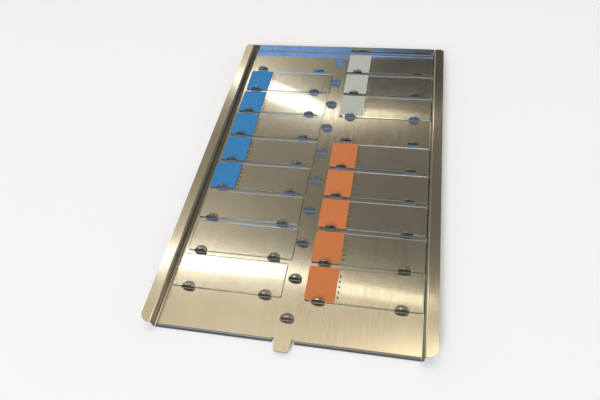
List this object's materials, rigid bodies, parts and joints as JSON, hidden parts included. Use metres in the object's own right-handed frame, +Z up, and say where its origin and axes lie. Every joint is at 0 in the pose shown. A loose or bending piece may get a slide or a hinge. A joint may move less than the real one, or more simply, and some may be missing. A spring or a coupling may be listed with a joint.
{
  "type": "slide tray",
  "caption": "Shallow folded steel tray with side flanges, a pull tab and upright half-round stops that keep glass microscope slides lying in rows.",
  "frame": {"origin": "middle of the bounding box, on the surface the tray stands on, at the front lip's lower edge", "axes": "+X to the right, +Y to the back wall, away from the pull tab, +Z up"},
  "size_m": [0.1874, 0.3024, 0.0098],
  "materials": {
    "brushed_sheet": "fine brushed along the tray, satin with soft reflections",
    "slide_glass": "clear, with ground edges",
    "blue_coat": "matt writing surface",
    "white_coat": "matt writing surface",
    "orange_coat": "matt writing surface"
  },
  "bodies": {
    "root": {"tray": "brushed_sheet", "slide_left_2": "slide_glass", "blue_end_left_2": "blue_coat", "slide_left_3": "slide_glass", "blue_end_left_3": "blue_coat", "slide_left_4": "slide_glass", "blue_end_left_4": "blue_coat", "slide_left_5": "slide_glass", "blue_end_left_5": "blue_coat", "slide_left_6": "slide_glass", "blue_end_left_6": "blue_coat", "slide_left_7": "slide_glass", "slide_left_8": "slide_glass", "slide_left_9": "slide_glass", "slide_right_1": "slide_glass", "white_end_right_1": "white_coat", "slide_right_2": "slide_glass", "white_end_right_2": "white_coat", "slide_right_3": "slide_glass", "white_end_right_3": "white_coat", "slide_right_5": "slide_glass", "orange_end_right_5": "orange_coat", "slide_right_6": "slide_glass", "orange_end_right_6": "orange_coat", "slide_right_7": "slide_glass", "orange_end_right_7": "orange_coat", "slide_right_8": "slide_glass", "orange_end_right_8": "orange_coat", "slide_right_9": "slide_glass", "orange_end_right_9": "orange_coat"}
  },
  "joints": []
}
